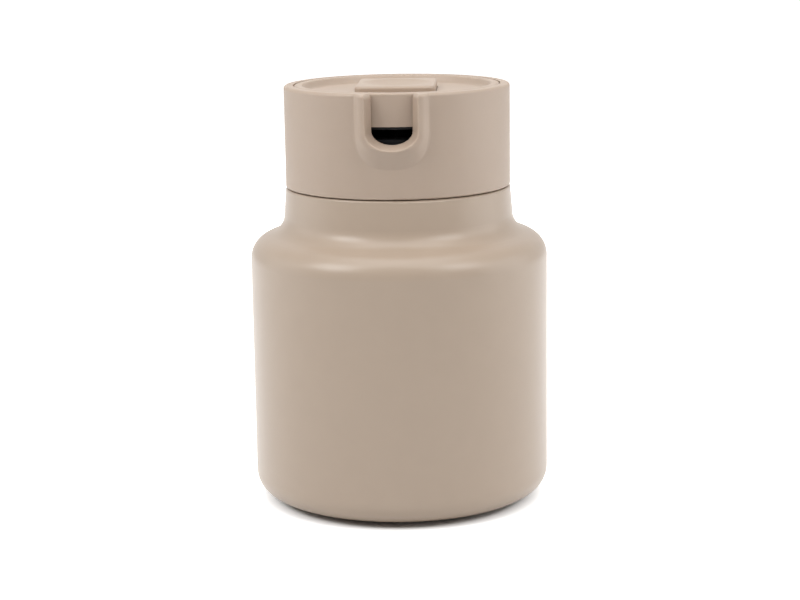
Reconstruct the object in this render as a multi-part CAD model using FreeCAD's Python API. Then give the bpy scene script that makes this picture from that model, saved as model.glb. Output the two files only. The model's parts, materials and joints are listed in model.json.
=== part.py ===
"""Thermal jug: a double-walled steel flask, a pouring collar and a press-to-pour stopper.

Millimetres, +Z up. The origin is on the jug's axis, on the surface that it stands on, and it
pours towards -Y.
"""
import FreeCAD
import Part
import math
import os

Vector = FreeCAD.Vector
UP = Vector(0, 0, 1)
AXIS_POINT = Vector(0, 0, 0)

# Overall sizes
BODY_RADIUS = 61.2
BODY_HEIGHT = 128.0
COLLAR_RADIUS = 46.1
COLLAR_HEIGHT = 41.7
FOOT_PROUD = 1.6

# Steel walls and the vacuum between them
SHELL_WALL = 0.8
LINER_WALL = 0.6
SIDE_VACUUM = 4.0
NECK_VACUUM = 2.2
FLOOR_VACUUM = 6.0

# Outer skin of the flask
BASE_CORNER = 13.0
SHOULDER_CORNER = 9.8
SHOULDER_SLOPE_DEGREES = 22.2
NECK_DROP = 16.9
NECK_FLARE = 1.4
NECK_CORNER = 8.2
LEDGE_ROUND = 0.9
SPIGOT_ROUND = 0.6
MOUTH_ROUND = 1.0
BASE_LIP = 5.5
WELD_RISE = 2.0
WELD_DROP = 8.6

# Liner
LINER_FLOOR_CORNER = 8.0
LINER_SHOULDER_CORNER = 8.0
LINER_NECK_CORNER = 6.0
LINER_WELD_DROP = 1.3

# Base plate, vacuum seal, getter and foot
PLATE_WALL = 0.8
PLATE_GAP = 0.4
DIMPLE_RADIUS = 9.0
DIMPLE_DEPTH = 1.6
DIMPLE_ROUND = 1.0
SEAL_HOLE_RADIUS = 1.2
SEAL_HEAD_RADIUS = 3.6
SEAL_HEAD = 1.0
GETTER_RADIUS = 7.0
GETTER_CORE_RADIUS = 3.5
GETTER_FILL = 1.5
GETTER_HEIGHT = 3.0
GETTER_WALL = 0.6
GETTER_PLACE = 26.0
FOOT_WIDTH = 12.0
FOOT_ROUND = 0.5

# Pouring collar
COLLAR_WALL = 3.8
COLLAR_EDGE = 1.2
SEAM_GAP = 0.4
SEAM_EDGE = 0.6

# Spout: half widths of its U outlines where their sides meet the bore, the lip's crest and the
# collar's outside, and their depths below the spring line in the same upright planes
SPOUT_SPRING_DROP = 14.7
NOTCH_HALF_WIDTH = 7.9
NOTCH_DEPTH = 5.0
NOTCH_EDGE = 0.55
NOTCH_CORNER = 2.6
CORNER_RUN_SHARE = 0.2
CREST_HALF_WIDTH = 10.3
CREST_DEPTH = 6.8
CREST_WIDTH = 2.2
CREST_FOOT = 3.8
CREST_ROUND = 2.4
LIP_REACH = 3.2
LIP_ROOT_HALF_WIDTH = 14.6
LIP_ROOT_DEPTH = 21.0
LIP_BLEND = 1.4

# Sleeve inside the collar: gutter, stopper socket and the skirt over the flask's spigot
GUTTER_DEPTH = 21.2
GUTTER_RISE = 1.0
SLEEVE_WEB = 4.0
SLEEVE_SKIRT = 1.2
SLEEVE_LIFT = 2.0
SOCKET_WALL = 2.3
SOCKET_DEPTH = 16.5
SOCKET_EDGE = 0.5
NECK_GASKET = 1.5

# Stopper
PLUG_DEPTH = 15.5
PLUG_WALL = 2.5
PLUG_FLOOR = 2.0
PLUG_EDGE = 0.6
PORT_RADIUS = 20.0
SEAT_WIDTH = 4.8
STOPPER_GASKET = 1.2
FLANGE_THICKNESS = 1.5
PARTITION = 1.2
PARTITION_INSET = 2.0
WINDOW_COUNT = 8
WINDOW_WIDTH = 17.0
GUIDE_LENGTH = 10.0
GUIDE_WALL = 1.8
GUIDE_LIP = 1.2

# Lid cover
SKIRT_DEPTH = 13.2
SKIRT_WALL = 2.8
RIM_WIDTH = 3.3
RIM_OUTER_ROUND = 0.9
RIM_INNER_ROUND = 1.0
BOWL_DEPTH = 2.8
BOWL_SLOPE_DEGREES = 60.0
BOWL_CORNER = 2.0
LID_WALL = 2.2
BUTTON_GUIDE_WALL = 1.8
BUTTON_GUIDE_LIFT = 1.5
SCREW_COUNT = 4
SCREW_CIRCLE = 26.0
SCREW_RADIUS = 1.4
SCREW_HEAD_RADIUS = 2.8
SCREW_HEAD = 1.6
SCREW_LENGTH = 4.5
SCREW_BOSS_WALL = 1.7

# Button and valve
BUTTON_WIDTH = 32.2
BUTTON_LENGTH = 37.0
BUTTON_PROUD = 0.5
BUTTON_CORNER = 3.0
BUTTON_EDGE = 1.2
BUTTON_WALL = 2.0
BUTTON_TOP = 1.4
BUTTON_TRAVEL = 5.0
DISH_RADIUS = 14.0
DISH_DEPTH = 2.0
STEM_RADIUS = 2.5
STEM_ROUND = 0.6
STEM_SEAT = 3.2
STEM_SEAT_WALL = 2.5
STEM_TAIL = 1.0
BUSH_FLANGE = 0.8
BUSH_FLANGE_WIDTH = 1.6
O_RING_WIRE = 1.8
SPRING_WIRE = 0.9
SPRING_RADIUS = 9.0
SPRING_TURNS = 3
VALVE_SEAL = 1.5
VALVE_LAP = 4.0
VALVE_PLATE = 3.0
VALVE_HUB_RADIUS = 8.0
VALVE_EDGE = 1.0
WASHER_RADIUS = 6.0
WASHER_THICKNESS = 0.8
NUT_FLATS = 8.0
NUT_HEIGHT = 3.5

# Clearances
BOND_GAP = 0.05
FIT_GAP = 0.2
SPIGOT_GAP = 0.3
SOCKET_GAP = 0.6
PLUG_GAP = 1.4
LID_GAP = 0.4
BUTTON_GAP = 0.3
RUN_GAP = 0.1
PRESS_GAP = 0.5
OVERRUN = 1.0

# How far a quarter ellipse's poles reach towards its corner, and how edges are picked
QUARTER_SHARE = 4 / 3 * (math.sqrt(2) - 1)
EDGE_SAMPLES = 9
TURN_SAMPLES = 48
SAME_PLACE = 0.01

# Heights worked out from the sizes above
Z_BASE = FOOT_PROUD
Z_PLATE = Z_BASE + SHELL_WALL
Z_LINER = Z_PLATE + PLATE_WALL + FLOOR_VACUUM
Z_SEAM = Z_BASE + BODY_HEIGHT
Z_RIM = Z_SEAM + COLLAR_HEIGHT
Z_SKIRT = Z_RIM - SKIRT_DEPTH
Z_GUTTER = Z_RIM - GUTTER_DEPTH
Z_WEB = Z_GUTTER - SLEEVE_WEB
Z_MOUTH = Z_WEB - NECK_GASKET
Z_SOCKET = Z_GUTTER - SOCKET_DEPTH
Z_PLUG = Z_GUTTER - PLUG_DEPTH
Z_FLANGE = Z_GUTTER + STOPPER_GASKET
Z_WINDOW = Z_FLANGE + FLANGE_THICKNESS
Z_PARTITION = Z_SKIRT - PARTITION
Z_GUIDE = Z_SKIRT - GUIDE_LENGTH
Z_O_RING = Z_GUIDE + GUIDE_LIP
Z_BUSH = Z_O_RING + O_RING_WIRE + RUN_GAP
Z_BUSH_TOP = Z_SKIRT + BUSH_FLANGE
Z_BUTTON = Z_SKIRT + BUTTON_TRAVEL + PRESS_GAP
Z_BUTTON_TOP = Z_RIM + BUTTON_PROUD
Z_BUTTON_CEILING = Z_BUTTON_TOP - DISH_DEPTH - BUTTON_TOP
Z_STEM_SEAT = Z_BUSH_TOP + BUTTON_TRAVEL + PRESS_GAP
Z_VALVE = Z_PLUG - VALVE_SEAL
Z_WASHER = Z_VALVE - VALVE_PLATE
Z_NUT = Z_WASHER - WASHER_THICKNESS
Z_STEM_TAIL = Z_NUT - NUT_HEIGHT - STEM_TAIL
Z_SPOUT_SPRING = Z_RIM - SPOUT_SPRING_DROP

# Radii worked out from the outside of the collar inwards
BORE_RADIUS = COLLAR_RADIUS - COLLAR_WALL
SLEEVE_RADIUS = BORE_RADIUS - FIT_GAP
SPIGOT_RADIUS = SLEEVE_RADIUS - SLEEVE_SKIRT - SPIGOT_GAP
LINER_NECK_RADIUS = SPIGOT_RADIUS - SHELL_WALL - NECK_VACUUM
MOUTH_RADIUS = LINER_NECK_RADIUS - LINER_WALL
SOCKET_OUTER_RADIUS = MOUTH_RADIUS - SOCKET_GAP
SOCKET_RADIUS = SOCKET_OUTER_RADIUS - SOCKET_WALL
PLUG_RADIUS = SOCKET_RADIUS - PLUG_GAP
FLANGE_RADIUS = SOCKET_RADIUS + SEAT_WIDTH
LID_RADIUS = BORE_RADIUS - LID_GAP
BOWL_RADIUS = LID_RADIUS - RIM_WIDTH
LINER_RADIUS = BODY_RADIUS - SHELL_WALL - SIDE_VACUUM
BASE_LIP_RADIUS = BODY_RADIUS - BASE_CORNER - BASE_LIP
GUIDE_RADIUS = STEM_RADIUS + RUN_GAP + O_RING_WIRE
VALVE_RADIUS = PORT_RADIUS + VALVE_LAP


def direction(start, end):
    """Unit step from one (radius, height) corner to another."""
    length = math.hypot(end[0] - start[0], end[1] - start[1])
    return (end[0] - start[0]) / length, (end[1] - start[1]) / length


def spot(radius, height):
    """Point of a section, which lies in the XZ plane."""
    return Vector(radius, 0, height)


def rounded_edges(corners):
    """Lines and arcs round a closed list of (radius, height, fillet) corners."""
    ends = []
    count = len(corners)
    for index, (radius, height, fillet) in enumerate(corners):
        before = corners[index - 1]
        after = corners[(index + 1) % count]
        here = (radius, height)
        back = direction(here, before)
        ahead = direction(here, after)
        if not fillet:
            ends.append((spot(radius, height), None, spot(radius, height)))
            continue
        half_angle = math.acos(back[0] * ahead[0] + back[1] * ahead[1]) / 2
        room = min(math.dist(here, before[:2]), math.dist(here, after[:2])) / 2
        reach = min(fillet / math.tan(half_angle), room)
        radius_here = reach * math.tan(half_angle)
        middle = direction((0, 0), (back[0] + ahead[0], back[1] + ahead[1]))
        depth = radius_here / math.sin(half_angle) - radius_here
        ends.append((spot(radius + back[0] * reach, height + back[1] * reach),
                     spot(radius + middle[0] * depth, height + middle[1] * depth),
                     spot(radius + ahead[0] * reach, height + ahead[1] * reach)))
    edges = []
    for index, (start, middle, end) in enumerate(ends):
        if middle:
            edges.append(Part.Arc(start, middle, end).toShape())
        next_start = ends[(index + 1) % count][0]
        if end.distanceToPoint(next_start) > Part.Precision.confusion():
            edges.append(Part.LineSegment(end, next_start).toShape())
    return edges


def turned(corners):
    """Solid of revolution about the jug's axis from a closed list of corners."""
    face = Part.Face(Part.Wire(rounded_edges(corners)))
    return face.revolve(AXIS_POINT, UP, 360)


def inside_skin(corners, wall):
    """The same open path moved to its left by the wall, with fillets that keep the wall even."""
    moved = []
    last = len(corners) - 1
    for index, (radius, height, fillet) in enumerate(corners):
        before = direction(corners[max(index - 1, 0)], corners[max(index, 1)])
        after = direction(corners[min(index, last - 1)], corners[min(index + 1, last)])
        turn = before[0] * after[1] - before[1] * after[0]
        mitre = wall / (1 + before[0] * after[0] + before[1] * after[1])
        moved.append((radius - (before[1] + after[1]) * mitre,
                      height + (before[0] + after[0]) * mitre,
                      max(fillet - math.copysign(wall, turn), 0) if fillet else 0))
    return moved


def pressed_sheet(corners, wall):
    """Sheet of even wall, turned from the open path of its outer skin."""
    return turned(corners + inside_skin(corners, wall)[::-1])


def ring(inner_radius, outer_radius, bottom, top, edge=0):
    """Plain ring between two heights, with its outer edges rounded."""
    return turned([(inner_radius, bottom, 0), (outer_radius, bottom, edge),
                   (outer_radius, top, edge), (inner_radius, top, 0)])


def disc(radius, bottom, top):
    """Upright cylinder on the axis."""
    return Part.makeCylinder(radius, top - bottom, Vector(0, 0, bottom))


def rounded_bar(width, length, corner, bottom, top):
    """Upright bar with rounded corners, centred on the axis."""
    bar = Part.makeBox(width, length, top - bottom, Vector(-width / 2, -length / 2, bottom))
    uprights = [edge for edge in bar.Edges if abs(edge.tangentAt(edge.FirstParameter).z) > 0]
    return bar.makeFillet(corner, uprights)


def around(shape, count):
    """Copies of a shape at even turns about the axis."""
    copies = []
    for index in range(count):
        copy = shape.copy()
        copy.rotate(AXIS_POINT, UP, 360 * index / count)
        copies.append(copy)
    return copies


def sampled_edges(shape):
    """Edges of a shape, each with points along it, without those collapsed to a point."""
    return [(edge, edge.discretize(Number=EDGE_SAMPLES)) for edge in shape.Edges if not edge.Degenerated]


def circles_at(shape, radius, height):
    """Edges of a shape that lie on one level circle about the axis."""
    found = []
    for edge, points in sampled_edges(shape):
        level = all(abs(point.z - height) < SAME_PLACE for point in points)
        if level and all(abs(math.hypot(point.x, point.y) - radius) < SAME_PLACE for point in points):
            found.append(edge)
    return found


def shoulder_path():
    """Open path of the flask's outer skin, from the lip under its base up to its mouth."""
    neck_foot = COLLAR_RADIUS + NECK_FLARE
    z_neck = Z_SEAM - NECK_DROP
    fall = (BODY_RADIUS - neck_foot) * math.tan(math.radians(SHOULDER_SLOPE_DEGREES))
    return [(BASE_LIP_RADIUS, Z_BASE, 0),
            (BODY_RADIUS, Z_BASE, BASE_CORNER),
            (BODY_RADIUS, z_neck - fall, SHOULDER_CORNER),
            (neck_foot, z_neck, NECK_CORNER),
            (COLLAR_RADIUS, Z_SEAM, LEDGE_ROUND),
            (SPIGOT_RADIUS, Z_SEAM, SPIGOT_ROUND),
            (SPIGOT_RADIUS, Z_MOUTH, MOUTH_ROUND),
            (LINER_NECK_RADIUS + BOND_GAP, Z_MOUTH, 0)]


def side_ends(path, base_corner, drop):
    """Heights of the welds at both ends of a skin's side: over its base and below its shoulder."""
    return path[1][1] + base_corner + WELD_RISE, path[2][1] - drop


def band(sheet, bottom, top):
    """The part of a turned sheet between two heights."""
    return sheet.common(disc(BODY_RADIUS + OVERRUN, bottom, top))


def shell_sheet():
    """The whole painted outer wall and the heights of its two welds."""
    path = shoulder_path()
    return pressed_sheet(path, SHELL_WALL), side_ends(path, BASE_CORNER, WELD_DROP)


def outer_shell():
    """Straight side of the painted outer wall."""
    sheet, welds = shell_sheet()
    return band(sheet, *welds)


def shell_base():
    """Pressed ring under the side: rounded base edge and the lip that carries the base plate."""
    sheet, welds = shell_sheet()
    return band(sheet, 0, welds[0])


def shell_shoulder():
    """Top of the outer wall: shoulder, neck, ledge for the collar, and spigot."""
    sheet, welds = shell_sheet()
    return band(sheet, welds[1], Z_RIM)


def liner_sheet():
    """The whole steel liner and the heights of its two welds."""
    shoulder = inside_skin(shoulder_path(), SHELL_WALL + SIDE_VACUUM)[2]
    rise = (LINER_RADIUS - LINER_NECK_RADIUS) * math.tan(math.radians(SHOULDER_SLOPE_DEGREES))
    skin = [(0, Z_LINER, 0),
            (LINER_RADIUS, Z_LINER, LINER_FLOOR_CORNER),
            (LINER_RADIUS, shoulder[1], LINER_SHOULDER_CORNER),
            (LINER_NECK_RADIUS, shoulder[1] + rise, LINER_NECK_CORNER),
            (LINER_NECK_RADIUS, Z_MOUTH, 0)]
    return pressed_sheet(skin, LINER_WALL), side_ends(skin, LINER_FLOOR_CORNER, LINER_WELD_DROP)


def inner_liner():
    """Straight side of the liner that holds the drink."""
    sheet, welds = liner_sheet()
    return band(sheet, *welds)


def liner_base():
    """Pressed floor of the liner."""
    sheet, welds = liner_sheet()
    return band(sheet, 0, welds[0])


def liner_neck():
    """Shoulder and neck of the liner, welded to the shell at the mouth."""
    sheet, welds = liner_sheet()
    return band(sheet, welds[1], Z_RIM)


def base_plate():
    """Disc welded over the shell's base lip, with the dimple that the vacuum was drawn through."""
    plate_radius = BODY_RADIUS - BASE_CORNER - PLATE_GAP
    z_dimple = Z_PLATE + DIMPLE_DEPTH
    skin = [(SEAL_HOLE_RADIUS, z_dimple, 0),
            (DIMPLE_RADIUS, z_dimple, DIMPLE_ROUND),
            (DIMPLE_RADIUS, Z_PLATE, DIMPLE_ROUND),
            (plate_radius, Z_PLATE, 0)]
    return pressed_sheet(skin, PLATE_WALL)


def vacuum_seal_plug():
    """Bead that closes the hole in the dimple from below."""
    z_hole = Z_PLATE + DIMPLE_DEPTH
    shank = SEAL_HOLE_RADIUS - BOND_GAP
    return turned([(0, z_hole - SEAL_HEAD, 0), (SEAL_HEAD_RADIUS, z_hole - SEAL_HEAD, SEAL_HEAD / 2),
                   (SEAL_HEAD_RADIUS, z_hole, 0), (shank, z_hole, 0),
                   (shank, z_hole + PLATE_WALL, 0), (0, z_hole + PLATE_WALL, 0)])


def getter_capsule():
    """Open ring of getter metal on the base plate, inside the vacuum."""
    bottom = Z_PLATE + PLATE_WALL
    top = bottom + GETTER_HEIGHT
    fill = bottom + GETTER_FILL
    inner = GETTER_CORE_RADIUS + GETTER_WALL
    outer = GETTER_RADIUS - GETTER_WALL
    capsule = turned([(GETTER_CORE_RADIUS, bottom, 0), (GETTER_RADIUS, bottom, GETTER_WALL),
                      (GETTER_RADIUS, top, 0), (outer, top, 0), (outer, fill, 0),
                      (inner, fill, 0), (inner, top, 0), (GETTER_CORE_RADIUS, top, 0)])
    capsule.translate(Vector(GETTER_PLACE, 0, 0))
    return capsule


def foot_ring():
    """Soft ring under the base, stepped over the joint of lip and plate."""
    outer = BODY_RADIUS - BASE_CORNER
    inner = outer - FOOT_WIDTH
    step = BASE_LIP_RADIUS - FIT_GAP
    return turned([(inner, 0, FOOT_ROUND), (outer, 0, FOOT_ROUND), (outer, Z_BASE, 0),
                   (step, Z_BASE, 0), (step, Z_PLATE, 0), (inner, Z_PLATE, 0)])


def neck_gasket():
    """Soft ring between the flask's mouth and the sleeve's web."""
    return ring(MOUTH_RADIUS, SPIGOT_RADIUS - SPIGOT_GAP, Z_MOUTH, Z_WEB)


def collar_sleeve():
    """Dark ring inside the collar: skirt over the spigot, gutter floor and socket for the stopper."""
    skirt_inner = SPIGOT_RADIUS + SPIGOT_GAP
    z_skirt = Z_SEAM + SLEEVE_LIFT
    seat = FLANGE_RADIUS + FIT_GAP
    return turned([(SOCKET_RADIUS, Z_SOCKET, SOCKET_EDGE), (SOCKET_OUTER_RADIUS, Z_SOCKET, SOCKET_EDGE),
                   (SOCKET_OUTER_RADIUS, Z_WEB, 0), (skirt_inner, Z_WEB, 0),
                   (skirt_inner, z_skirt, 0), (SLEEVE_RADIUS, z_skirt, 0),
                   (SLEEVE_RADIUS, Z_GUTTER + GUTTER_RISE, 0), (seat, Z_GUTTER, 0),
                   (SOCKET_RADIUS, Z_GUTTER, SOCKET_EDGE)])


def quarter(start, corner, end):
    """Quarter of an ellipse, tangent at its ends to the lines that meet at the corner."""
    curve = Part.BezierCurve()
    curve.setPoles([start, start + (corner - start) * QUARTER_SHARE,
                    end + (corner - end) * QUARTER_SHARE, end])
    return curve.toShape()


def u_wire(y, half_width, depth, top, flare=0):
    """Closed U in an upright plane: sides down to the spring line, then half an ellipse.

    With a flare the sides bend outwards at the top, as a cutter for rounded corners does.
    """
    def at(x, z):
        return Vector(x, y, z)

    right = half_width + flare
    side_top = top - flare
    z_bottom = Z_SPOUT_SPRING - depth
    edges = [Part.LineSegment(at(right, top), at(-right, top)).toShape()]
    if flare:
        edges.append(quarter(at(-right, top), at(-half_width, top), at(-half_width, side_top)))
    edges += [Part.LineSegment(at(-half_width, side_top), at(-half_width, Z_SPOUT_SPRING)).toShape(),
              quarter(at(-half_width, Z_SPOUT_SPRING), at(-half_width, z_bottom), at(0, z_bottom)),
              quarter(at(0, z_bottom), at(half_width, z_bottom), at(half_width, Z_SPOUT_SPRING)),
              Part.LineSegment(at(half_width, Z_SPOUT_SPRING), at(half_width, side_top)).toShape()]
    if flare:
        edges.append(quarter(at(half_width, side_top), at(half_width, top), at(right, top)))
    return Part.Wire(edges)


def u_loft(inner, outer, y_range, top, flare=0):
    """Solid between two planes of Y, ruled through two U outlines given as (radius, half width, depth).

    Each outline lies in the upright plane where its sides meet a cylinder of that radius.
    """
    planes = [-math.sqrt(radius ** 2 - half_width ** 2) for radius, half_width, _ in (inner, outer)]
    wires = []
    for y in y_range:
        share = (y - planes[0]) / (planes[1] - planes[0])
        half_width = inner[1] + (outer[1] - inner[1]) * share
        depth = inner[2] + (outer[2] - inner[2]) * share
        wires.append(u_wire(y, half_width, depth, top, flare))
    return Part.makeLoft(wires, True, True)


def edges_on_radius(shape, radius):
    """Edges at the front of a shape that lie on one upright cylinder and aren't level."""
    found = []
    for edge, points in sampled_edges(shape):
        level = edge.BoundBox.ZLength < SAME_PLACE
        on_radius = all(abs(math.hypot(point.x, point.y) - radius) < SAME_PLACE for point in points)
        if on_radius and not level and edge.BoundBox.YMax < 0:
            found.append(edge)
    return found


def rim_edges(shape):
    """Edges round the outside of the collar's rim, along the lip as well."""
    found = []
    for edge, points in sampled_edges(shape):
        at_rim = all(abs(point.z - Z_RIM) < SAME_PLACE for point in points)
        outside = all(math.hypot(point.x, point.y) > COLLAR_RADIUS - SAME_PLACE for point in points)
        if at_rim and outside:
            found.append(edge)
    return found


def spout_collar():
    """Pouring collar: a straight ring drawn out at the front into a lipped U notch."""
    z_bottom = Z_SEAM + SEAM_GAP
    crest_radius = COLLAR_RADIUS + LIP_REACH
    notch_inner = (BORE_RADIUS, NOTCH_HALF_WIDTH, NOTCH_DEPTH)
    notch_outer = (crest_radius, CREST_HALF_WIDTH, CREST_DEPTH)
    lip_inner = (COLLAR_RADIUS, LIP_ROOT_HALF_WIDTH, LIP_ROOT_DEPTH)
    lip_outer = (crest_radius, CREST_HALF_WIDTH + CREST_WIDTH, CREST_DEPTH + CREST_FOOT)
    wall_middle = COLLAR_RADIUS - COLLAR_WALL / 2
    body = turned([(BORE_RADIUS, z_bottom, 0), (COLLAR_RADIUS, z_bottom, SEAM_EDGE),
                   (COLLAR_RADIUS, Z_RIM, 0), (BORE_RADIUS, Z_RIM, 0)])
    lip = u_loft(lip_inner, lip_outer, (-BORE_RADIUS, -crest_radius - OVERRUN), Z_RIM + OVERRUN)
    lip = lip.common(disc(crest_radius, z_bottom, Z_RIM)).cut(disc(wall_middle, z_bottom, Z_RIM))
    lip = lip.makeFillet(CREST_ROUND, edges_on_radius(lip, crest_radius))
    body = body.fuse(lip).removeSplitter()
    body = body.makeFillet(LIP_BLEND, edges_on_radius(body, COLLAR_RADIUS))
    body = body.makeFillet(COLLAR_EDGE, rim_edges(body))
    notch_start = OVERRUN - math.sqrt(BORE_RADIUS ** 2 - (NOTCH_HALF_WIDTH + NOTCH_CORNER) ** 2)
    notch = u_loft(notch_inner, notch_outer, (notch_start, -crest_radius - OVERRUN),
                   Z_RIM + NOTCH_CORNER * CORNER_RUN_SHARE, NOTCH_CORNER)
    body = body.cut(notch)
    notch_edges = edges_on_radius(body, crest_radius) + edges_on_radius(body, BORE_RADIUS)
    return body.makeFillet(NOTCH_EDGE, notch_edges)


def stopper_body():
    """Dark inside of the stopper: plug, gasket flange, pour windows, partition and stem guide."""
    plug_inner = PLUG_RADIUS - PLUG_WALL
    partition_radius = LID_RADIUS - PARTITION_INSET
    guide_outer = GUIDE_RADIUS + GUIDE_WALL
    lip = STEM_RADIUS + RUN_GAP * 2
    body = turned([(lip, Z_GUIDE, 0), (guide_outer, Z_GUIDE, PLUG_EDGE),
                   (guide_outer, Z_PARTITION, PLUG_EDGE), (plug_inner, Z_PARTITION, 0),
                   (plug_inner, Z_PLUG + PLUG_FLOOR, PLUG_EDGE),
                   (PORT_RADIUS, Z_PLUG + PLUG_FLOOR, PLUG_EDGE), (PORT_RADIUS, Z_PLUG, 0),
                   (PLUG_RADIUS, Z_PLUG, PLUG_EDGE), (PLUG_RADIUS, Z_FLANGE, 0),
                   (FLANGE_RADIUS, Z_FLANGE, 0), (FLANGE_RADIUS, Z_WINDOW, PLUG_EDGE),
                   (PLUG_RADIUS, Z_WINDOW, 0), (PLUG_RADIUS, Z_PARTITION, 0),
                   (partition_radius, Z_PARTITION, 0), (partition_radius, Z_SKIRT, 0),
                   (GUIDE_RADIUS, Z_SKIRT, 0), (GUIDE_RADIUS, Z_O_RING, 0), (lip, Z_O_RING, 0)])
    window_start = PLUG_RADIUS + OVERRUN
    window_end = math.sqrt(plug_inner ** 2 - (WINDOW_WIDTH / 2) ** 2) - OVERRUN
    window = Part.makeBox(WINDOW_WIDTH, window_start - window_end, Z_PARTITION - Z_WINDOW,
                          Vector(-WINDOW_WIDTH / 2, -window_start, Z_WINDOW))
    hole = Part.makeCylinder(SCREW_RADIUS + FIT_GAP, PARTITION + OVERRUN * 2,
                             Vector(SCREW_CIRCLE, 0, Z_PARTITION - OVERRUN))
    return body.cut(around(window, WINDOW_COUNT) + around(hole, SCREW_COUNT))


def stopper_gasket():
    """Soft ring under the stopper's flange, which seals on the edge of the socket."""
    return ring(SOCKET_RADIUS + SOCKET_EDGE, FLANGE_RADIUS - FIT_GAP, Z_GUTTER, Z_FLANGE)


def bowl(drop=0):
    """Cutter for the lid's hollow, or with a drop for the underside of a wall as thick as that."""
    slope = math.radians(BOWL_SLOPE_DEGREES)
    floor = Z_RIM - BOWL_DEPTH - drop
    top = Z_RIM + OVERRUN
    foot = BOWL_RADIUS - BOWL_DEPTH / math.tan(slope) + drop * math.tan(slope / 2)
    edge = foot + (top - floor) / math.tan(slope)
    return turned([(0, floor, 0), (foot, floor, BOWL_CORNER + drop), (edge, top, 0), (0, top, 0)])


def lid_cover():
    """Lid: rim and skirt, hollowed top, guide for the button and four screw bosses."""
    hole_width = BUTTON_WIDTH + BUTTON_GAP * 2
    hole_length = BUTTON_LENGTH + BUTTON_GAP * 2
    hole_corner = BUTTON_CORNER + BUTTON_GAP
    cavity = disc(LID_RADIUS - SKIRT_WALL, Z_SKIRT, Z_RIM).cut(bowl(LID_WALL))
    lid = disc(LID_RADIUS, Z_SKIRT, Z_RIM).cut(cavity)
    guide = rounded_bar(hole_width + BUTTON_GUIDE_WALL * 2, hole_length + BUTTON_GUIDE_WALL * 2,
                        hole_corner + BUTTON_GUIDE_WALL, Z_SKIRT + BUTTON_GUIDE_LIFT, Z_RIM)
    boss = Part.makeCylinder(SCREW_RADIUS + SCREW_BOSS_WALL, SKIRT_DEPTH,
                             Vector(SCREW_CIRCLE, 0, Z_SKIRT))
    lid = lid.fuse([guide] + around(boss, SCREW_COUNT)).cut(bowl())
    lid = lid.makeFillet(RIM_INNER_ROUND, circles_at(lid, BOWL_RADIUS, Z_RIM))
    lid = lid.makeFillet(RIM_OUTER_ROUND, circles_at(lid, LID_RADIUS, Z_RIM))
    pilot = Part.makeCylinder(SCREW_RADIUS + BOND_GAP, SCREW_LENGTH + PRESS_GAP,
                              Vector(SCREW_CIRCLE, 0, Z_SKIRT))
    hole = rounded_bar(hole_width, hole_length, hole_corner, Z_SKIRT, Z_RIM)
    return lid.cut([hole] + around(pilot, SCREW_COUNT))


def cover_screws():
    """Pan-head screws from below, through the partition into the lid's bosses."""
    z_head = Z_PARTITION - SCREW_HEAD
    screw = turned([(0, z_head, 0), (SCREW_HEAD_RADIUS, z_head, SCREW_HEAD / 2),
                    (SCREW_HEAD_RADIUS, Z_PARTITION, 0), (SCREW_RADIUS, Z_PARTITION, 0),
                    (SCREW_RADIUS, Z_SKIRT + SCREW_LENGTH, SCREW_RADIUS / 2),
                    (0, Z_SKIRT + SCREW_LENGTH, 0)])
    screw.translate(Vector(SCREW_CIRCLE, 0, 0))
    return Part.makeCompound(around(screw, SCREW_COUNT))


def stem_bush():
    """Flanged bush that guides the stem through the partition."""
    inner = STEM_RADIUS + RUN_GAP
    outer = GUIDE_RADIUS - BOND_GAP
    flange = GUIDE_RADIUS + BUSH_FLANGE_WIDTH
    return turned([(inner, Z_BUSH, 0), (outer, Z_BUSH, 0), (outer, Z_SKIRT, 0), (flange, Z_SKIRT, 0),
                   (flange, Z_BUSH_TOP, BUSH_FLANGE / 2), (inner, Z_BUSH_TOP, 0)])


def stem_o_ring():
    """O-ring round the stem, held between the guide's lip and the bush."""
    wire = O_RING_WIRE / 2
    return Part.makeTorus(GUIDE_RADIUS - BOND_GAP - wire, wire, Vector(0, 0, Z_O_RING + BOND_GAP + wire))


def arc_between(start, tangent, end):
    """Arc that leaves start along a tangent and reaches end."""
    chord = end - start
    along = Vector(chord).normalize()
    side = tangent - along * tangent.dot(along)
    half_turn = math.acos(tangent.dot(along))
    sagitta = chord.Length / 2 * math.tan(half_turn / 2)
    return Part.Arc(start, (start + end) * 0.5 + side.normalize() * sagitta, end).toShape()


def helix_wire(radius, bottom, top, turns):
    """Helix about the axis as pairs of tangent arcs, two pairs to a turn."""
    steps = turns * 2
    climb = (top - bottom) / (turns * math.tau)

    def place(step):
        angle = math.pi * step
        spot_here = Vector(radius * math.cos(angle), radius * math.sin(angle), bottom + climb * angle)
        tangent = Vector(-radius * math.sin(angle), radius * math.cos(angle), climb).normalize()
        return spot_here, tangent

    edges = []
    for step in range(steps):
        start, leave = place(step)
        end, arrive = place(step + 1)
        span = end - start
        both = leave + arrive
        bend = (1 - leave.dot(arrive)) * 2
        reach = (-span.dot(both) + math.sqrt(span.dot(both) ** 2 + bend * span.dot(span))) / bend
        middle = (start + leave * reach + end - arrive * reach) * 0.5
        edges.append(arc_between(start, leave, middle))
        edges.append(arc_between(middle, (end - arrive * reach - start - leave * reach).normalize(), end))
    return Part.Wire(edges)


def least_gap(path, turns, thickness):
    """Least gap between one turn of a wire and another, measured on points along its path."""
    points = path.discretize(Number=turns * TURN_SAMPLES + 1)
    apart = TURN_SAMPLES // 2
    return min(point.distanceToPoint(other)
               for index, point in enumerate(points) for other in points[index + apart:]) - thickness


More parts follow.
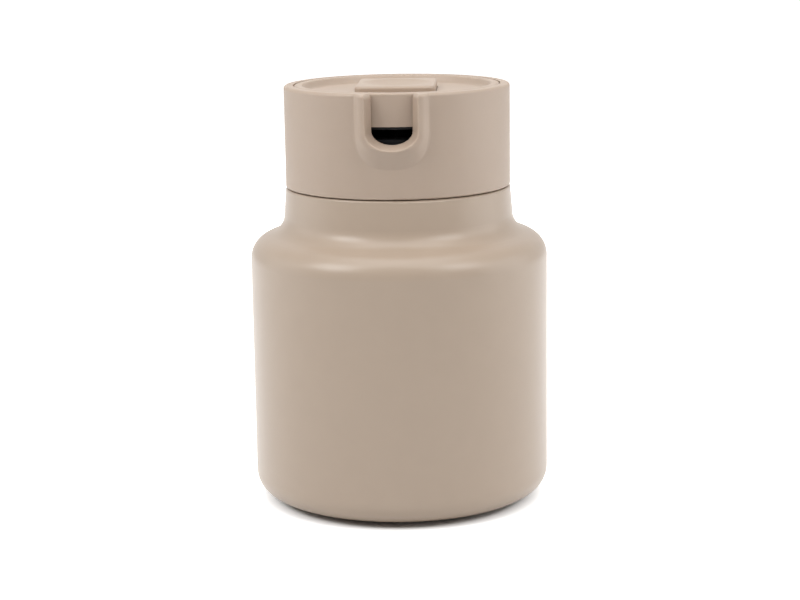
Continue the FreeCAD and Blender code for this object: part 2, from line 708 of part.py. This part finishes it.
def return_spring():
    """Coil spring that lifts the button and so pulls the valve shut."""
    wire = SPRING_WIRE / 2
    bottom = Z_SKIRT + wire + FIT_GAP
    top = Z_BUTTON_CEILING - wire - FIT_GAP
    path = helix_wire(SPRING_RADIUS, bottom, top, SPRING_TURNS)
    first = path.OrderedEdges[0]
    start = first.valueAt(first.FirstParameter)
    section = Part.Wire(Part.Circle(start, first.tangentAt(first.FirstParameter), wire).toShape())
    shell = Part.BRepOffsetAPI.MakePipeShell(path)
    shell.add(section)
    shell.build()
    shell.makeSolid()
    print("least gap between the spring's turns, mm:", least_gap(path, SPRING_TURNS, SPRING_WIRE))
    return shell.shape()


def push_button():
    """Button with a round finger dish, hollow below, with a seat for the stem."""
    ceiling = Z_BUTTON_CEILING
    button = rounded_bar(BUTTON_WIDTH, BUTTON_LENGTH, BUTTON_CORNER, Z_BUTTON, Z_BUTTON_TOP)
    top_edges = [edge for edge in button.Edges if edge.BoundBox.ZMin > Z_BUTTON_TOP - SAME_PLACE]
    button = button.makeFillet(BUTTON_EDGE, top_edges)
    dish_sphere = (DISH_RADIUS ** 2 + DISH_DEPTH ** 2) / (DISH_DEPTH * 2)
    dish = Part.makeSphere(dish_sphere, Vector(0, 0, Z_BUTTON_TOP - DISH_DEPTH + dish_sphere))
    hollow = rounded_bar(BUTTON_WIDTH - BUTTON_WALL * 2, BUTTON_LENGTH - BUTTON_WALL * 2,
                         BUTTON_CORNER - BUTTON_WALL / 2, Z_BUTTON, ceiling)
    seat = disc(STEM_RADIUS + STEM_SEAT_WALL, Z_STEM_SEAT, ceiling)
    socket = disc(STEM_RADIUS + BOND_GAP, Z_STEM_SEAT, Z_STEM_SEAT + STEM_SEAT + BOND_GAP)
    return button.cut([dish, hollow]).fuse(seat).cut(socket)


def valve_stem():
    """Rod from the button's seat down through the bush to the valve."""
    top = Z_STEM_SEAT + STEM_SEAT
    return turned([(0, Z_STEM_TAIL, 0), (STEM_RADIUS, Z_STEM_TAIL, STEM_ROUND),
                   (STEM_RADIUS, top, STEM_ROUND), (0, top, 0)])


def valve_plug():
    """Plate that closes the port from below, with a hub that centres its seal."""
    bore = STEM_RADIUS + BOND_GAP
    return turned([(bore, Z_WASHER, 0), (WASHER_RADIUS + VALVE_EDGE, Z_WASHER, 0),
                   (VALVE_RADIUS - VALVE_EDGE, Z_VALVE - VALVE_PLATE / 2, VALVE_EDGE),
                   (VALVE_RADIUS - VALVE_EDGE, Z_VALVE, 0), (VALVE_HUB_RADIUS, Z_VALVE, 0),
                   (VALVE_HUB_RADIUS, Z_PLUG, VALVE_EDGE), (bore, Z_PLUG, 0)])


def valve_seal():
    """Soft ring on the valve plate, pressed up against the edge of the port."""
    return ring(VALVE_HUB_RADIUS + BOND_GAP, VALVE_RADIUS, Z_VALVE, Z_PLUG)


def plug_washer():
    """Washer under the valve plate."""
    return ring(STEM_RADIUS + BOND_GAP, WASHER_RADIUS, Z_NUT, Z_WASHER)


def plug_nut():
    """Hexagon nut that clamps washer, plate and seal on the stem."""
    corner_radius = NUT_FLATS / 2 / math.cos(math.pi / 6)
    corners = [Vector(corner_radius * math.cos(math.pi / 3 * index),
                      corner_radius * math.sin(math.pi / 3 * index), Z_NUT - NUT_HEIGHT)
               for index in range(7)]
    prism = Part.Face(Part.makePolygon(corners)).extrude(UP * NUT_HEIGHT)
    return prism.cut(disc(STEM_RADIUS + BOND_GAP, Z_NUT - NUT_HEIGHT, Z_NUT))


PIECES = [outer_shell, shell_base, shell_shoulder, inner_liner, liner_base, liner_neck, base_plate,
          vacuum_seal_plug, getter_capsule, foot_ring, neck_gasket, collar_sleeve, spout_collar,
          stopper_body, stopper_gasket, lid_cover, cover_screws, stem_bush, stem_o_ring, return_spring,
          push_button, valve_stem, valve_plug, valve_seal, plug_washer, plug_nut]

os.makedirs("parts", exist_ok=True)
for piece in PIECES:
    piece().exportStep(f"parts/{piece.__name__}.step")
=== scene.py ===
import json
import math

import bpy
from mathutils import Matrix, Vector


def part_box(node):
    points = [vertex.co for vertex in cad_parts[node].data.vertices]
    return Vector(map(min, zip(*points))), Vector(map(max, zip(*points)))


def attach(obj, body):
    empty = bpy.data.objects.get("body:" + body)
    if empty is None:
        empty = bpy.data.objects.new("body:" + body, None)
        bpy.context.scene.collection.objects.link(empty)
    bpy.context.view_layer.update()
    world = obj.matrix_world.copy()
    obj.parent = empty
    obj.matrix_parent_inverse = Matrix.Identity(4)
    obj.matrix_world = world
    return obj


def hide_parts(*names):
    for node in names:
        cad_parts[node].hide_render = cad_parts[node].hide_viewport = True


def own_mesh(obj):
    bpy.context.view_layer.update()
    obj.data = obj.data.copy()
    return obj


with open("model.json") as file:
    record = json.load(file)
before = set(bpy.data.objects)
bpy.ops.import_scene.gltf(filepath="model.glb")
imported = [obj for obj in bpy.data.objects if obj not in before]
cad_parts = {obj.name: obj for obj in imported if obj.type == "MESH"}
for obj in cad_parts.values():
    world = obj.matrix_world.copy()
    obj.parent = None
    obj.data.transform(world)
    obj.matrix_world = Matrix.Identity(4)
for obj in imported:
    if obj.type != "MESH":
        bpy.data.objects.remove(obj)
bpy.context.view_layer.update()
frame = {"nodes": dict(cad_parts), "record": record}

# Looks of a thermal jug: the finish of every solid, the stopper's thread, the return spring,
# a plain studio and the camera. Metres, in the frame of the solids: +Z up, the spout towards -Y.

MM = 0.001
WHITE = (1, 1, 1)
OPAQUE = (1,)

# Finishes by slot: plain values of the shader, drift of the colour and of the roughness in
# patches of a size, and a fine relief. Colours are linear
BRUSHED = (0.02, 0.02, 1)
FINISHES = {
    # Satin powder coat on steel
    "shell_paint": {
        "sockets": {"Roughness": 0.34},
        "mottle": {"color": (0.40, 0.313, 0.24), "spread": 0.02, "size": 9 * MM},
        "drift": {"low": 0.31, "high": 0.37, "size": 3 * MM},
        "grain": {"size": 0.7 * MM, "depth": 0.012 * MM},
    },
    # Matte moulded plastic in the coat's colour, with some light under its surface
    "collar_plastic": {
        "sockets": {"Roughness": 0.5, "Specular IOR Level": 0.7, "Subsurface Weight": 0.4,
                    "Subsurface Scale": 2.5 * MM, "Subsurface Radius": (1, 0.9, 0.8)},
        "mottle": {"color": (0.41, 0.317, 0.246), "spread": 0.02, "size": 12 * MM},
        "drift": {"low": 0.46, "high": 0.55, "size": 2 * MM},
        "grain": {"size": 0.35 * MM, "depth": 0.008 * MM},
    },
    # Matte black moulding: black plastic, with its colour set darker still as painted shade on the
    # black parts seen in the spout's notch
    "dark_plastic": {
        "sockets": {"Roughness": 0.6, "Specular IOR Level": 0.25},
        "mottle": {"color": (0.006, 0.006, 0.0065), "spread": 0.1, "size": 8 * MM},
        "drift": {"low": 0.55, "high": 0.7, "size": 3 * MM},
        "grain": {"size": 0.3 * MM, "depth": 0.01 * MM},
    },
    # Black silicone with a faint bloom
    "soft_black": {
        "sockets": {"Roughness": 0.65, "Sheen Weight": 0.15, "Sheen Roughness": 0.5},
        "mottle": {"color": (0.02, 0.02, 0.021), "spread": 0.15, "size": 5 * MM},
        "grain": {"size": 0.5 * MM, "depth": 0.015 * MM},
    },
    # Stainless steel, brushed round the axis
    "steel": {
        "sockets": {"Roughness": 0.3, "Metallic": 1.0},
        "mottle": {"color": (0.62, 0.61, 0.59), "spread": 0.04, "size": 10 * MM},
        "drift": {"low": 0.22, "high": 0.38, "size": 0.4 * MM, "stretch": BRUSHED},
        "grain": {"size": 0.25 * MM, "depth": 0.004 * MM, "detail": 3.0, "stretch": BRUSHED},
    },
    # Natural acetal, a little translucent
    "pale_plastic": {
        "sockets": {"Roughness": 0.35, "Subsurface Weight": 0.1, "Subsurface Scale": 1 * MM},
        "mottle": {"color": (0.74, 0.73, 0.69), "spread": 0.02, "size": 4 * MM},
        "grain": {"size": 0.4 * MM, "depth": 0.006 * MM},
    },
}

# Thread on the stopper's plug
THREAD_STARTS = 2
THREAD_TURNS = 1.25
THREAD_PITCH = 6.0 * MM
THREAD_HEIGHT = 0.9 * MM
THREAD_FOOT = 2.6 * MM
THREAD_CREST = 1.0 * MM
THREAD_LIFT = 1.6 * MM
THREAD_SINK = 0.2 * MM
THREAD_STEPS = 120
THREAD_FADE_SHARE = 0.12

# Return spring
SPRING_WIRE = 0.9 * MM
SPRING_TURNS = 3
SPRING_END_TURNS = 0.75
SPRING_TURN_STEPS = 40
SPRING_SIDES = 10

# Camera, fitted to the photograph's outline
PHOTO_WIDTH = 800
FOCAL_PIXELS = 1996.3
AXIS_OFFSET_PIXELS = -0.2
CAMERA_DISTANCE = 0.8155
CAMERA_HEIGHT = 0.2459
CAMERA_PITCH = math.radians(11.425)
CAMERA_ROLL = math.radians(-0.85)
CAMERA_AZIMUTH = math.radians(2.8)
SENSOR_WIDTH = 36

# Studio. The floor glows white where it is seen, but not in a disc round a point just in front of
# the jug: painted shade there, in which the jug's real shadow also lies
SKY_LEVEL = 0.04
FLOOR_SIZE = 12.0
FLOOR_COLOR = (0.82, 0.82, 0.82)
FLOOR_ROUGHNESS = 0.9
PAINTED_SHADE_CENTRE = (0, -6 * MM, 0)
PAINTED_SHADE_CORE = 49 * MM
PAINTED_SHADE_END = 65 * MM
LAMP_AIM = Vector((0, 0, 0.11))
LAMPS = {
    "key_left": {"place": Vector((-0.75, -0.5, 0.85)), "size": 0.5, "power": 6.4, "mirrored": True},
    "key_right": {"place": Vector((0.75, -0.5, 0.85)), "size": 0.5, "power": 4.4, "mirrored": True},
    "top_box": {"place": Vector((0, -0.25, 1.3)), "size": 1.2, "power": 10.9, "mirrored": True},
    "panel_left": {"place": Vector((-1.1, 0.05, 0.3)), "size": 0.9, "power": 2.7, "mirrored": True},
    "panel_right": {"place": Vector((1.1, 0.05, 0.3)), "size": 0.9, "power": 4.5, "mirrored": True},
    "back": {"place": Vector((0, 1.1, 0.7)), "size": 0.9, "power": 5.0, "mirrored": False},
}


def new_node(material, kind, **values):
    """Node of a material with some of its inputs set."""
    node = material.node_tree.nodes.new(kind)
    for name, value in values.items():
        node.inputs[name.replace("_", " ")].default_value = value
    return node


def link(material, source, target):
    material.node_tree.links.new(source, target)


def new_material(name, sockets):
    """Material with one Principled shader, whose plain values are set on its own sockets."""
    material = bpy.data.materials.new(name)
    material.use_nodes = True
    shader = material.node_tree.nodes["Principled BSDF"]
    for socket, value in sockets.items():
        shader.inputs[socket].default_value = value
    return material, shader


def noise(material, size, detail=2.0, stretch=(1, 1, 1)):
    """Noise over the object's own place, with features of a size, stretched along its axes."""
    place = new_node(material, "ShaderNodeTexCoord")
    mapping = new_node(material, "ShaderNodeMapping", Scale=stretch)
    texture = new_node(material, "ShaderNodeTexNoise", Scale=1 / size, Detail=detail)
    link(material, place.outputs["Object"], mapping.inputs["Vector"])
    link(material, mapping.outputs["Vector"], texture.inputs["Vector"])
    return texture.outputs["Fac"]


def mottle(material, shader, color, spread, size):
    """Base colour that drifts a little about a colour, in patches of a size."""
    ramp = new_node(material, "ShaderNodeValToRGB")
    for stop, factor in zip(ramp.color_ramp.elements, (1 - spread, 1 + spread)):
        stop.color = tuple(channel * factor for channel in color) + OPAQUE
    link(material, noise(material, size), ramp.inputs["Fac"])
    link(material, ramp.outputs["Color"], shader.inputs["Base Color"])


def drift(material, shader, low, high, size, stretch=(1, 1, 1)):
    """Roughness that drifts between two values, in patches of a size."""
    span = new_node(material, "ShaderNodeMapRange", To_Min=low, To_Max=high)
    link(material, noise(material, size, stretch=stretch), span.inputs["Value"])
    link(material, span.outputs["Result"], shader.inputs["Roughness"])


def grain(material, shader, size, depth, detail=2.0, stretch=(1, 1, 1)):
    """Fine relief with features of a size and a depth."""
    bump = new_node(material, "ShaderNodeBump", Strength=1.0, Distance=depth)
    link(material, noise(material, size, detail, stretch), bump.inputs["Height"])
    link(material, bump.outputs["Normal"], shader.inputs["Normal"])


def finish(slot):
    """Material of a slot."""
    look = FINISHES[slot]
    material, shader = new_material(slot, look["sockets"])
    mottle(material, shader, **look["mottle"])
    if "drift" in look:
        drift(material, shader, **look["drift"])
    grain(material, shader, **look["grain"])
    return material


MATERIALS = {slot: finish(slot) for slot in FINISHES}


def dress(piece, slot):
    """Gives a piece the finish of a slot, and smooth shading."""
    piece.data.materials.clear()
    piece.data.materials.append(MATERIALS[slot])
    piece.data.shade_smooth()


def new_piece(name, points, faces, body, slot):
    """Mesh piece that rides on a body."""
    mesh = bpy.data.meshes.new(name)
    mesh.from_pydata(points, [], faces)
    mesh.update()
    piece = bpy.data.objects.new(name, mesh)
    bpy.context.scene.collection.objects.link(piece)
    dress(piece, slot)
    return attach(piece, body)


def swept(sections):
    """Points and faces of a closed tube through sections with the same number of points."""
    sides = len(sections[0])
    points = [point for section in sections for point in section]
    faces = [tuple(range(sides))[::-1], tuple(range(len(points) - sides, len(points)))]
    for step in range(len(sections) - 1):
        for side in range(sides):
            following = (side + 1) % sides
            here, ahead = step * sides, (step + 1) * sides
            faces.append((here + side, here + following, ahead + following, ahead + side))
    return points, faces


def on_axis(radius, angle, height):
    """Point at a distance from the axis, an angle round it and a height."""
    return Vector((radius * math.cos(angle), radius * math.sin(angle), height))


def reach(node, low, high):
    """Greatest distance from the axis of a solid's points between two heights."""
    points = [vertex.co for vertex in frame["nodes"][node].data.vertices]
    return max(point.xy.length for point in points if low < point.z < high)


def thread():
    """Trapezoid ridges that wind up the stopper's plug and fade out at both ends."""
    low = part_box("stopper_body")[0].z
    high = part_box("stopper_gasket")[0].z
    root = reach("stopper_body", low, high)
    inner = root - THREAD_SINK
    for start in range(THREAD_STARTS):
        sections = []
        for step in range(THREAD_STEPS + 1):
            share = step / THREAD_STEPS
            angle = math.tau * (THREAD_TURNS * share + start / THREAD_STARTS)
            middle = low + THREAD_LIFT + THREAD_FOOT / 2 + THREAD_PITCH * THREAD_TURNS * share
            fade = min(share, 1 - share, THREAD_FADE_SHARE) / THREAD_FADE_SHARE
            outer = root + (THREAD_HEIGHT + THREAD_SINK) * fade - THREAD_SINK / 2
            sections.append([on_axis(inner, angle, middle - THREAD_FOOT / 2),
                             on_axis(outer, angle, middle - THREAD_CREST / 2),
                             on_axis(outer, angle, middle + THREAD_CREST / 2),
                             on_axis(inner, angle, middle + THREAD_FOOT / 2)])
        new_piece(f"plug_thread_{start + 1}", *swept(sections), "stopper", "dark_plastic")


def spring():
    """Coil with closed ends, in place of the return spring's solid."""
    low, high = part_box("return_spring")
    wire = SPRING_WIRE / 2
    radius = high.x - wire
    steps = round((SPRING_TURNS + 2 * SPRING_END_TURNS) * SPRING_TURN_STEPS)
    end_steps = round(SPRING_END_TURNS * SPRING_TURN_STEPS)
    rise = (high.z - low.z - SPRING_WIRE) / (steps - 2 * end_steps)
    upward = Vector((0, 0, 1))
    turns = [math.tau * side / SPRING_SIDES for side in range(SPRING_SIDES)]
    sections = []
    for step in range(steps + 1):
        angle = math.tau * step / SPRING_TURN_STEPS
        climbed = min(max(step - end_steps, 0), steps - 2 * end_steps)
        centre = on_axis(radius, angle, low.z + wire + rise * climbed)
        outward = on_axis(1, angle, 0)
        sections.append([centre + (outward * math.cos(turn) + upward * math.sin(turn)) * wire
                         for turn in turns])
    piece = new_piece("return_coil", *swept(sections), "stopper", "steel")
    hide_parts("return_spring")
    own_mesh(piece)


def seen_rays(tree):
    """One where a ray comes from the camera, a reflection or glass, and zero for other light."""
    path = tree.nodes.new("ShaderNodeLightPath")
    seen = path.outputs["Is Camera Ray"]
    for name in ("Is Glossy Ray", "Is Transmission Ray"):
        either = tree.nodes.new("ShaderNodeMath")
        either.operation = "MAXIMUM"
        tree.links.new(seen, either.inputs[0])
        tree.links.new(path.outputs[name], either.inputs[1])
        seen = either.outputs["Value"]
    return seen


def sky():
    """White where it is seen, and a faint white as light."""
    world = bpy.data.worlds.new("studio")
    world.use_nodes = True
    bpy.context.scene.world = world
    tree = world.node_tree
    background = tree.nodes["Background"]
    background.inputs["Color"].default_value = WHITE + OPAQUE
    level = tree.nodes.new("ShaderNodeMapRange")
    level.inputs["To Min"].default_value = SKY_LEVEL
    tree.links.new(seen_rays(tree), level.inputs["Value"])
    tree.links.new(level.outputs["Result"], background.inputs["Strength"])


def floor():
    """Pale floor that is seen as white, with painted shade in a disc round the jug where its glow
    fades out, in which the jug's real shadow also lies.
    """
    half = FLOOR_SIZE / 2
    mesh = bpy.data.meshes.new("floor")
    mesh.from_pydata([(-half, -half, 0), (half, -half, 0), (half, half, 0), (-half, half, 0)],
                     [], [(0, 1, 2, 3)])
    plane = bpy.data.objects.new("floor", mesh)
    bpy.context.scene.collection.objects.link(plane)
    material, shader = new_material("floor", {"Roughness": FLOOR_ROUGHNESS,
                                              "Base Color": FLOOR_COLOR + OPAQUE,
                                              "Emission Color": WHITE + OPAQUE})
    place = new_node(material, "ShaderNodeTexCoord")
    # Painted shade: the white glow fades out in a disc round a point just in front of the jug
    distance = new_node(material, "ShaderNodeVectorMath")
    distance.operation = "DISTANCE"
    distance.inputs[1].default_value = PAINTED_SHADE_CENTRE
    level = new_node(material, "ShaderNodeMapRange", From_Min=PAINTED_SHADE_CORE, From_Max=PAINTED_SHADE_END)
    glow = new_node(material, "ShaderNodeMath")
    glow.operation = "MULTIPLY"
    link(material, place.outputs["Object"], distance.inputs[0])
    link(material, distance.outputs["Value"], level.inputs["Value"])
    link(material, seen_rays(material.node_tree), glow.inputs[0])
    link(material, level.outputs["Result"], glow.inputs[1])
    link(material, glow.outputs["Value"], shader.inputs["Emission Strength"])
    mesh.materials.append(material)


def lamps():
    """Large soft lamps that look at the jug."""
    for name, lamp in LAMPS.items():
        light = bpy.data.lights.new(name, "AREA")
        light.size = lamp["size"]
        light.energy = lamp["power"]
        placed = bpy.data.objects.new(name, light)
        placed.location = lamp["place"]
        placed.rotation_euler = (LAMP_AIM - lamp["place"]).to_track_quat("-Z", "Y").to_euler()
        placed.visible_glossy = lamp["mirrored"]
        bpy.context.scene.collection.objects.link(placed)


def camera():
    """Camera at the photograph's viewing angle."""
    data = bpy.data.cameras.new("camera")
    data.sensor_width = SENSOR_WIDTH
    data.lens = FOCAL_PIXELS / PHOTO_WIDTH * SENSOR_WIDTH
    data.shift_x = -AXIS_OFFSET_PIXELS / PHOTO_WIDTH
    placed = bpy.data.objects.new("camera", data)
    place = Vector((CAMERA_DISTANCE * math.sin(CAMERA_AZIMUTH),
                    -CAMERA_DISTANCE * math.cos(CAMERA_AZIMUTH), CAMERA_HEIGHT))
    placed.matrix_world = (Matrix.Translation(place)
                           @ Matrix.Rotation(CAMERA_AZIMUTH, 4, "Z")
                           @ Matrix.Rotation(math.pi / 2 - CAMERA_PITCH, 4, "X")
                           @ Matrix.Rotation(CAMERA_ROLL, 4, "Z"))
    bpy.context.scene.collection.objects.link(placed)
    bpy.context.scene.camera = placed


for part in frame["record"]["subparts"]:
    dress(frame["nodes"][part["node"]], part["material_slot"])
thread()
spring()
sky()
floor()
lamps()
camera()
bpy.context.scene.view_settings.view_transform = "Standard"
